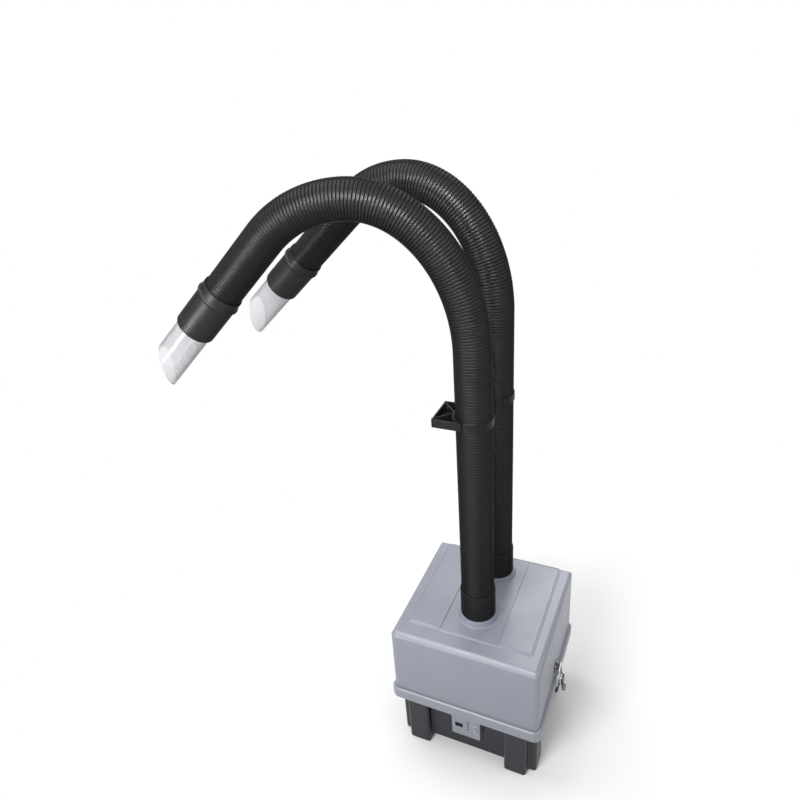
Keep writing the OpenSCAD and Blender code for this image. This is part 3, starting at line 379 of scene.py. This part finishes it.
def soften(node, slot, width, segments=2, angle=35):
    """A copy of a CAD node with its hard edges rounded, shown instead of it."""
    source = frame["nodes"][node]
    mesh = bpy.data.meshes.new(node + "_form")
    work = bmesh.new()
    work.from_mesh(source.data)
    bmesh.ops.remove_doubles(work, verts=work.verts, dist=WELD)
    bmesh.ops.dissolve_limit(work, angle_limit=math.radians(0.5), verts=work.verts, edges=work.edges)
    for edge in work.edges:
        edge.smooth = True
    work.to_mesh(mesh)
    work.free()
    if "custom_normal" in mesh.attributes:
        mesh.attributes.remove(mesh.attributes["custom_normal"])
    mesh.materials.clear()
    mesh.materials.append(FINISH[slot])
    mesh.shade_smooth()
    obj = add_object(node + "_form", mesh)
    bevel = obj.modifiers.new("edges", "BEVEL")
    bevel.width = width * MM
    bevel.segments = segments
    bevel.limit_method = "ANGLE"
    bevel.angle_limit = math.radians(angle)
    bevel.use_clamp_overlap = False
    even_normals(obj)
    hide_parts(node)
    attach(obj, source["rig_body"])


def outline(x0, x1, y0, y1, front, back, steps=8):
    """Rounded rectangle: points with their outward normals. front is the corner radius at the low y."""
    loop = []
    for sx, sy, start, r in ((1, 1, 0, back), (-1, 1, 90, back), (-1, -1, 180, front), (1, -1, 270, front)):
        cx = x1 - r if sx > 0 else x0 + r
        cy = y1 - r if sy > 0 else y0 + r
        for k in range(steps + 1):
            a = math.radians(start + 90 * k / steps)
            loop.append((cx + r * math.cos(a), cy + r * math.sin(a), math.cos(a), math.sin(a)))
    return loop


def inset(loop, d, z):
    """The loop moved in by d, at height z."""
    return [(x - nx * d, y - ny * d, z) for x, y, nx, ny in loop]


def edge_arc(r, z, steps=4, power=1):
    """Inset and height along a quarter round from the side up to a top at height z, flatter for a higher power."""
    turns = [math.radians(90 * k / steps) for k in range(steps + 1)]
    return [(r * (1 - math.cos(t) ** power), z - r + r * math.sin(t) ** power) for t in turns]


def slab(w, h, corner, t, edge):
    """Rounded plate in the plane of its own x and y, from 0 up to t, with a rounded top edge."""
    loop = outline(-w / 2, w / 2, -h / 2, h / 2, corner, corner)
    rows = [(0, 0)] + edge_arc(edge, t)
    return loft([inset(loop, d, z) for d, z in rows], caps=(0, len(rows) - 1))


def ring_plate(w, h, corner, band, t):
    """Thin rounded frame in the plane of its own x and y."""
    loop = outline(-w / 2, w / 2, -h / 2, h / 2, corner, corner)
    rows = [(0, 0), (0, t * 0.6), (t * 0.4, t), (band - t * 0.4, t), (band, t * 0.6), (band, 0)]
    return loft([inset(loop, d, z) for d, z in rows], close=True)


def lathe(profile, sides=TURN_SIDES):
    """Closed profile of radius and height turned round Z."""
    turns = [2 * math.pi * k / sides for k in range(sides)]
    return loft([[(r * math.cos(a), r * math.sin(a), z) for a in turns] for r, z in profile], close=True)


def joined(*forms):
    """Several forms as one."""
    points, faces = [], []
    for p, f in forms:
        faces += [tuple(i + len(points) for i in face) for face in f]
        points += [tuple(q) for q in p]
    return points, faces


def moved(form, matrix):
    """A form put in place by a matrix."""
    points, faces = form
    return [tuple(matrix @ Vector(p)) for p in points], faces


def facing_front(x, y, z):
    """Matrix from a plate's own plane to one that faces the front."""
    return Matrix(((1, 0, 0, x), (0, 0, -1, y), (0, 1, 0, z), (0, 0, 0, 1)))


# ---------------------------------------------------------------- hood
def hood_form():
    """Drafted box with its inside. Its top edge is rounded, more at the front than at the back."""
    loop = outline(-HOOD_X, HOOD_X, -HOOD_Y, HOOD_Y, HOOD_ROUND, BACK_ROUND, HOOD_CORNER_STEPS)
    top_x, top_y = HOOD_X - HOOD_DRAFT, HOOD_Y - HOOD_DRAFT
    top = outline(-top_x, top_x, -top_y, top_y, HOOD_ROUND, BACK_ROUND, HOOD_CORNER_STEPS)
    span = 2 * top_y - HOOD_ROUND - BACK_ROUND
    shares = [min(1, max(0, (y + top_y - HOOD_ROUND) / span)) for x, y, *normal in top]
    radii = [HOOD_ROUND + (BACK_ROUND - HOOD_ROUND) * share for share in shares]
    inside = [(WALL + HOOD_DRAFT, HOOD_CEILING), (WALL, HOOD_FOOT)]
    foot = [(0.8, HOOD_FOOT), (0.2, HOOD_FOOT + 0.3), (0, HOOD_FOOT + 1.1)]
    loops = [inset(loop, d, z) for d, z in inside + foot]
    for k in range(HOOD_EDGE_STEPS + 1):
        t = math.radians(90 * k / HOOD_EDGE_STEPS)
        row = []
        for (x, y, nx, ny), e in zip(top, radii):
            d = e * (1 - math.cos(t) ** EDGE_POWER)
            row.append((x - nx * d, y - ny * d, HOOD_TOP - e + e * math.sin(t) ** EDGE_POWER))
        loops.append(row)
    return loft(loops, caps=(0, len(loops) - 1))


def field_form(x0, x1, back_off, z):
    """Raised field on the hood's top with a slope round it, gentler at its front and back."""
    loop = outline(x0, x1, FIELD_FRONT + back_off, FIELD_BACK - back_off, FIELD_ROUND, FIELD_ROUND)
    loops = []
    for along, rise in FIELD_SLOPE:
        row = []
        for x, y, nx, ny in loop:
            d = along * (SIDE_RUN + (FRONT_RUN - SIDE_RUN) * ny * ny)
            row.append((x - nx * d, y - ny * d, z + TOP_STEP * rise))
        loops.append(row)
    return loft(loops, caps=(len(loops) - 1,))


piece(
    "hood_form",
    joined(
        hood_form(),
        field_form(-FIELD_X, FIELD_X, 0, HOOD_TOP),
        field_form(CHANNEL_X, FIELD_X - FIELD_INSET, FIELD_INSET, CHANNEL_Z),
        field_form(FIELD_INSET - FIELD_X, -CHANNEL_X, FIELD_INSET, CHANNEL_Z),
    ),
    "hood_grey",
    "hood",
    "hood_shell",
)

# Turned pieces: radius and height from point to point, with small rounded edges
SPIGOT = [
    (SPIGOT_BORE, SPIGOT_FOOT),
    (NECK_R - 0.5, SPIGOT_FOOT),
    (NECK_R, SPIGOT_FOOT + 0.5),
    (NECK_R, CHANNEL_Z - 0.6),
    (COLLAR_R + 2.6, CHANNEL_Z - 0.1),
    (COLLAR_R + 1.1, CHANNEL_Z + 0.3),
    (COLLAR_R + 0.2, CHANNEL_Z + 1.2),
    (COLLAR_R - 0.5, CHANNEL_Z + 2.6),
    (COLLAR_EDGE + 0.6, COLLAR_TOP - 1.9),
    (COLLAR_EDGE + 0.1, COLLAR_TOP - 0.6),
    (COLLAR_EDGE - 0.7, COLLAR_TOP),
    (SPIGOT_R, COLLAR_TOP),
    (SPIGOT_R, SPIGOT_TOP),
    (SPIGOT_BORE, SPIGOT_TOP),
]
INLET_CUFF = [
    (SPIGOT_R + 0.1, COLLAR_TOP + 0.05),
    (CUFF_R - 0.9, COLLAR_TOP + 0.05),
    (CUFF_R - 0.25, COLLAR_TOP + 0.35),
    (CUFF_R, COLLAR_TOP + 1.2),
    (CUFF_R, CUFF_TOP - 1.1),
    (CUFF_R - 0.3, CUFF_TOP - 0.35),
    (CUFF_R - 1, CUFF_TOP),
    (CUFF_SEAT + 0.3, CUFF_TOP),
    (CUFF_SEAT, CUFF_TOP - 0.4),
    (CUFF_SEAT, HOSE_FOOT),
    (SPIGOT_R + 0.1, HOSE_FOOT),
]
NOZZLE_CUFF = [
    (CUFF_SEAT, 0.5),
    (CUFF_SEAT + 0.5, 0),
    (CUFF_R - 0.9, 0),
    (CUFF_R - 0.2, 0.4),
    (CUFF_R, 1.3),
    (CUFF_R, BEAD_AT - 1.6),
    (CUFF_R + 0.5, BEAD_AT - 0.3),
    (BEAD_R - 0.7, BEAD_AT + 0.9),
    (BEAD_R, BEAD_AT + 2.3),
    (BEAD_R, BEAD_AT + BEAD_L - 2.3),
    (BEAD_R - 0.7, BEAD_AT + BEAD_L - 0.9),
    (CUFF_R + 0.5, BEAD_AT + BEAD_L + 0.3),
    (CUFF_R, BEAD_AT + BEAD_L + 1.6),
    (CUFF_R, GROOVE_AT - 0.4),
    (CUFF_R - 0.5, GROOVE_AT),
    (CUFF_R - 0.5, GROOVE_AT + 0.8),
    (CUFF_R, GROOVE_AT + 1.2),
    (CUFF_R, NOZZLE_CUFF_L - 1.4),
    (CUFF_R - 0.4, NOZZLE_CUFF_L - 0.4),
    (CUFF_R - 1.3, NOZZLE_CUFF_L),
    (NOZZLE_R + 0.5, NOZZLE_CUFF_L),
    (NOZZLE_R + 0.1, NOZZLE_CUFF_L - 0.5),
    (NOZZLE_R + 0.1, NOZZLE_FOOT - 0.3),
    (NOZZLE_R - NOZZLE_WALL, NOZZLE_FOOT - 0.3),
    (NOZZLE_R - NOZZLE_WALL, STOP_AT),
    (CUFF_SEAT, STOP_AT),
]


# ---------------------------------------------------------------- arms
def arm_line(a):
    """Middle line of an arm in its own plane, from the swing plane to the hose's end."""
    bend, reach, rise, fall_r, fall = a["bend"], a["reach"], a["rise"], a["fall_r"], a["fall"]
    foot = SWING_Z + SEAM
    line = [(0, foot + (bend - foot) * k / FOOT_STEPS) for k in range(FOOT_STEPS)]
    for k in range(RISE_STEPS + 1):
        t = math.radians(90 * k / RISE_STEPS)
        line.append((reach * (1 - math.cos(t)), bend + rise * math.sin(t)))
    for k in range(1, FALL_STEPS + 1):
        t = math.radians(fall * k / FALL_STEPS)
        line.append((reach + fall_r * math.sin(t), bend + rise - fall_r * (1 - math.cos(t))))
    t = math.radians(fall)
    s, z = line[-1]
    for k in range(1, END_STEPS + 1):
        d = (a["straight"] + HOSE_SEAT) * k / END_STEPS
        line.append((s + d * math.cos(t), z - d * math.sin(t)))
    return line


def in_arm(a):
    """Matrix from an arm's plane to the frame."""
    return Matrix.Translation((0, a["y"], 0)) @ Matrix.Rotation(math.radians(a["azimuth"]), 4, "Z")


def arm_end(a):
    """Matrix from the space of a nozzle cuff to the frame."""
    t = math.radians(a["fall"])
    s = a["reach"] + a["fall_r"] * math.sin(t) + a["straight"] * math.cos(t)
    z = a["bend"] + a["rise"] - a["fall_r"] * (1 - math.cos(t)) - a["straight"] * math.sin(t)
    return in_arm(a) @ Matrix.Translation((s, 0, z)) @ Matrix.Rotation(math.radians(90 + a["fall"]), 4, "Y")


def hose_form(line):
    """Ribbed tube along a line in a plane: flat ribs with narrow grooves between them."""
    sums = [0]
    for p, q in zip(line, line[1:]):
        sums.append(sums[-1] + math.dist(p, q))
    ribs = round(sums[-1] / RIB_PITCH)
    stations = [((i + f) / ribs * sums[-1], h) for i in range(ribs) for f, h in RIB] + [(sums[-1], 0)]
    loops, seg = [], 0
    for t, h in stations:
        while seg < len(line) - 2 and sums[seg + 1] < t:
            seg += 1
        share = (t - sums[seg]) / (sums[seg + 1] - sums[seg])
        p, q = line[seg], line[seg + 1]
        before, after = line[max(seg - 1, 0)], line[min(seg + 2, len(line) - 1)]
        head_p = (Vector(q) - Vector(before)).normalized()
        head_q = (Vector(after) - Vector(p)).normalized()
        head = head_p.lerp(head_q, share).normalized()
        cx, cz = p[0] + (q[0] - p[0]) * share, p[1] + (q[1] - p[1]) * share
        r = HOSE_ROOT + (HOSE_R - HOSE_ROOT) * h
        row = []
        for k in range(HOSE_SIDES):
            a = 2 * math.pi * k / HOSE_SIDES
            row.append((cx - r * math.cos(a) * head.y, r * math.sin(a), cz + r * math.cos(a) * head.x))
        loops.append(row)
    return loft(loops)


def nozzle_form(turn):
    """Thin tube with a slanted mouth and a rounded lip, its long side turned from the arm's underside."""
    slope = math.tan(math.radians(MOUTH_SLANT))
    inner = NOZZLE_R - NOZZLE_WALL
    shares = [k / NOZZLE_STEPS for k in range(NOZZLE_STEPS)]
    rows = [(NOZZLE_R, share, 0) for share in shares] + [(NOZZLE_R, 1, -0.7)]
    rows += [(NOZZLE_R - 0.25, 1, -0.2), ((NOZZLE_R + inner) / 2, 1, 0), (inner + 0.25, 1, -0.2)]
    rows += [(inner, 1, -0.7)] + [(inner, share, 0) for share in reversed(shares)]
    loops = []
    for r, share, back in rows:
        row = []
        for k in range(TURN_SIDES):
            a = 2 * math.pi * k / TURN_SIDES
            mouth = MOUTH_MID + r * math.cos(a - math.radians(turn)) * slope
            row.append((r * math.cos(a), r * math.sin(a), NOZZLE_FOOT + (mouth - NOZZLE_FOOT) * share + back))
        loops.append(row)
    return loft(loops, close=True)


def strap_form():
    """Band with two shallow grooves, its buckle and the free end of the band."""
    inner = HOSE_R + STRAP_GAP
    outer = inner + STRAP_T
    profile = [(inner, 0.4), (inner + 0.3, 0), (outer - 0.5, 0), (outer, 0.6)]
    for z in STRAP_GROOVES:
        profile += [(outer, z - 0.5), (outer - 0.35, z), (outer - 0.35, z + 1), (outer, z + 1.5)]
    profile += [(outer, STRAP_W - 0.6), (outer - 0.5, STRAP_W), (inner + 0.3, STRAP_W), (inner, STRAP_W - 0.4)]
    band = lathe(profile, STRAP_SIDES)
    turn = Matrix.Rotation(math.radians(BUCKLE_AZIMUTH), 4, "Z")
    outward = Matrix(((0, 0, 1, inner + 0.2), (1, 0, 0, 0), (0, 1, 0, STRAP_W / 2), (0, 0, 0, 1)))
    body = moved(slab(BUCKLE_W, STRAP_W, 1.2, BUCKLE_T, 0.8), turn @ outward)
    lift = Matrix.Translation((0, 0, BUCKLE_T - 0.1))
    bars = moved(ring_plate(BUCKLE_W - 0.6, STRAP_W - 0.6, 1, BUCKLE_BAR, 1.1), turn @ outward @ lift)
    aside = Matrix.Rotation(math.radians(TAIL_TURN), 4, "Z")
    tail = moved(slab(TAIL_L, STRAP_W - 3, 2, TAIL_T, 0.5), aside @ turn @ outward)
    return joined(band, body, bars, tail)


lower = [(0, HOSE_FOOT + (SWING_Z - SEAM - HOSE_FOOT) * k / LOWER_STEPS) for k in range(LOWER_STEPS + 1)]
for name, a in ARMS.items():
    stand = Matrix.Translation((0, a["y"], 0))
    piece(f"spigot_form_{name}", lathe(SPIGOT), "hood_grey", "hood", f"inlet_spigot_{name}", at=stand)
    piece(f"inlet_cuff_form_{name}", lathe(INLET_CUFF), "cuff_black", "hood", f"inlet_cuff_{name}", at=stand)
    piece(
        f"hose_lower_form_{name}", hose_form(lower), "hose_black", "hood", f"hose_lower_{name}",
        at=in_arm(a), angle=80, flat=False,
    )
    upper = piece(
        f"hose_upper_form_{name}", hose_form(arm_line(a)), "hose_black", None, f"hose_upper_{name}",
        at=in_arm(a), angle=80, flat=False,
    )
    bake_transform(upper)
    piece(
        f"nozzle_cuff_form_{name}", lathe(NOZZLE_CUFF), "cuff_black", f"{name}_tip", f"nozzle_cuff_{name}",
        at=arm_end(a),
    )
    piece(
        f"nozzle_form_{name}", nozzle_form(a["turn"]), "clear_plastic", f"{name}_nozzle", f"nozzle_{name}",
        at=arm_end(a),
    )
    piece(
        f"strap_form_{name}", strap_form(), "bracket_black", f"{name}_clamp", f"strap_{name}",
        at=Matrix.Translation((0, a["y"], a["bracket"] + STRAP_RISE)),
    )
    soften(f"bracket_{name}", "bracket_black", 0.6)


# ---------------------------------------------------------------- base
def rim_form():
    """Rim with a rounded upper edge, its skirt, and the deck with the air hole."""
    loop = outline(-RIM_X, RIM_X, -RIM_Y, RIM_Y, RIM_CORNER, RIM_CORNER, RIM_CORNER_STEPS)
    rows = [(WALL, DECK_Z - WALL), (WALL, RIM_Z), (0.7, RIM_Z), (0.2, RIM_Z + 0.3), (0, RIM_Z + 1)]
    rows += edge_arc(RIM_EDGE, DECK_Z, RIM_EDGE_STEPS, EDGE_POWER) + [(RIM_FLAT, DECK_Z)]
    loops = [inset(loop, d, z) for d, z in rows]
    turns = [math.atan2(y, x) for x, y, *normal in loop]
    for r, z in ((AIR_HOLE_R + 0.8, DECK_Z), (AIR_HOLE_R, DECK_Z - 0.8), (AIR_HOLE_R, DECK_Z - WALL)):
        loops.append([(r * math.cos(t), r * math.sin(t), z) for t in turns])
    return loft(loops, close=True)


piece("rim_form", rim_form(), "rim_grey", "base", "deck_frame")
soften("base_tub", "charcoal", 2.6, 4)
piece(
    "panel_form",
    slab(PANEL_W, PANEL_H, PANEL_CORNER, PANEL_BACK - PANEL_FACE, PANEL_EDGE),
    "rim_grey",
    "base",
    "panel_case",
    at=facing_front(0, PANEL_BACK, PANEL_Z + PANEL_H / 2),
)
piece(
    "display_frame",
    ring_plate(DISPLAY_W, DISPLAY_H, DISPLAY_CORNER, DISPLAY_BAR, DISPLAY_RISE),
    "key_grey",
    "base",
    at=facing_front(DISPLAY_X, PANEL_FACE, DISPLAY_Z),
)
soften("key_pad", "key_grey", 0.25)
soften("power_key", "key_grey", 0.4)
soften("exhaust_grille", "dark_plastic", 0.5)
soften("power_inlet", "dark_plastic", 0.5)
for side in ("right", "left"):
    soften(f"latch_plate_{side}", "steel", 0.3)
    soften(f"latch_lever_{side}", "black_steel", 0.3)
    soften(f"latch_keeper_{side}", "black_steel", 0.3)


# ---------------------------------------------------------------- studio, in metres
FLOOR_SIZE, FLOOR_Z = 20, -0.0005
SHADE_ENDS, WHITE_SHARE = (0.35, 1.0), (0.05, 1.0)
WORLD_LEVELS = (0.31, 1.0)  # on the object, and as the backdrop


def camera_like(tree):
    """1 for the rays that see the backdrop: from the camera, in a reflection or through glass."""
    path = tree.nodes.new("ShaderNodeLightPath").outputs
    seen = combined(tree, "MAXIMUM", path["Is Camera Ray"], path["Is Glossy Ray"])
    return combined(tree, "MAXIMUM", seen, path["Is Transmission Ray"])


def floor_material():
    """Pale floor that keeps the object's shadow near it and is white to the camera farther out."""
    mat = bpy.data.materials.new("floor")
    mat.use_nodes = True
    tree = mat.node_tree
    shader = tree.nodes["Principled BSDF"]
    shader.inputs["Base Color"].default_value = (0.72, 0.72, 0.722, 1)
    shader.inputs["Roughness"].default_value = 0.9
    shader.inputs["Specular IOR Level"].default_value = 0.0
    glow = tree.nodes.new("ShaderNodeEmission")
    glow.inputs["Strength"].default_value = 1.0
    coords = tree.nodes.new("ShaderNodeTexCoord")
    away = tree.nodes.new("ShaderNodeVectorMath")
    away.operation = "LENGTH"
    tree.links.new(coords.outputs["Object"], away.inputs[0])
    fade = remap(tree, away.outputs["Value"], SHADE_ENDS, WHITE_SHARE)
    fade.node.interpolation_type = "SMOOTHSTEP"
    mix = tree.nodes.new("ShaderNodeMixShader")
    tree.links.new(combined(tree, "MULTIPLY", camera_like(tree), fade), mix.inputs["Fac"])
    tree.links.new(shader.outputs[0], mix.inputs[1])
    tree.links.new(glow.outputs[0], mix.inputs[2])
    tree.links.new(mix.outputs[0], tree.nodes["Material Output"].inputs["Surface"])
    return mat


ground = bpy.data.meshes.new("floor")
corners = ((-1, -1), (1, -1), (1, 1), (-1, 1))
ground.from_pydata([(x * FLOOR_SIZE, y * FLOOR_SIZE, FLOOR_Z) for x, y in corners], [], [(0, 1, 2, 3)])
ground.materials.append(floor_material())
floor = add_object("floor", ground)

world = bpy.data.worlds.new("studio")
bpy.context.scene.world = world
world.use_nodes = True
sky = world.node_tree
backdrop = sky.nodes["Background"]
backdrop.inputs["Color"].default_value = (1, 1, 1, 1)
sky.links.new(remap(sky, camera_like(sky), (0, 1), WORLD_LEVELS), backdrop.inputs["Strength"])


def softbox(name, where, target, size, power, spread=180):
    """Square lamp that faces a point, in metres and watts. A spread below 180 degrees stands for a grid before it."""
    data = bpy.data.lights.new(name, "AREA")
    data.shape = "SQUARE"
    data.size = size
    data.energy = power
    data.spread = math.radians(spread)
    lamp = add_object(name, data)
    lamp.location = where
    lamp.rotation_euler = (Vector(target) - Vector(where)).to_track_quat("-Z", "Y").to_euler()
    lamp.visible_transmission = False  # through clear plastic a small lamp makes only specks


softbox("key", (-0.6, -2.3, 2.3), (-0.1, 0, 0.5), 1.2, 80)
softbox("front", (-1.6, -2.55, 0.8), (-0.4, -0.1, 1.0), 1.0, 3.8, 28)
softbox("arch", (0.6, -1.9, 2.15), (0.0, 0, 1.1), 0.6, 4.0, 28)
softbox("fill", (2.0, 0.1, 2.3), (0, 0, 0.4), 1.8, 28)
softbox("top", (-1.1, 0.1, 2.7), (-0.1, 0, 0.3), 1.6, 44)
softbox("back", (0.0, 1.9, 2.4), (0.1, 0, 0.3), 1.1, 24)

# Camera of the photo: focal length in pixels, turn, tilt and roll in radians, place in millimetres
FOCAL, WIDTH = 662.7474, 800
YAW, PITCH, ROLL = -0.4596, 0.4922, -0.0819
PLACE = (325.79, -980.27, 1360.20)
forward = Vector((math.sin(YAW) * math.cos(PITCH), math.cos(YAW) * math.cos(PITCH), -math.sin(PITCH)))
level_right = Vector((math.cos(YAW), -math.sin(YAW), 0))
level_up = level_right.cross(forward)
right = math.cos(ROLL) * level_right + math.sin(ROLL) * level_up
up = -math.sin(ROLL) * level_right + math.cos(ROLL) * level_up
lens = bpy.data.cameras.new("camera")
lens.sensor_width = 36
lens.lens = FOCAL * lens.sensor_width / WIDTH
lens.clip_end = 60
camera = add_object("camera", lens)
camera.matrix_world = Matrix((
    (right.x, up.x, -forward.x, PLACE[0] * MM),
    (right.y, up.y, -forward.y, PLACE[1] * MM),
    (right.z, up.z, -forward.z, PLACE[2] * MM),
    (0, 0, 0, 1),
))
bpy.context.scene.camera = camera
bpy.context.scene.view_settings.view_transform = "Standard"
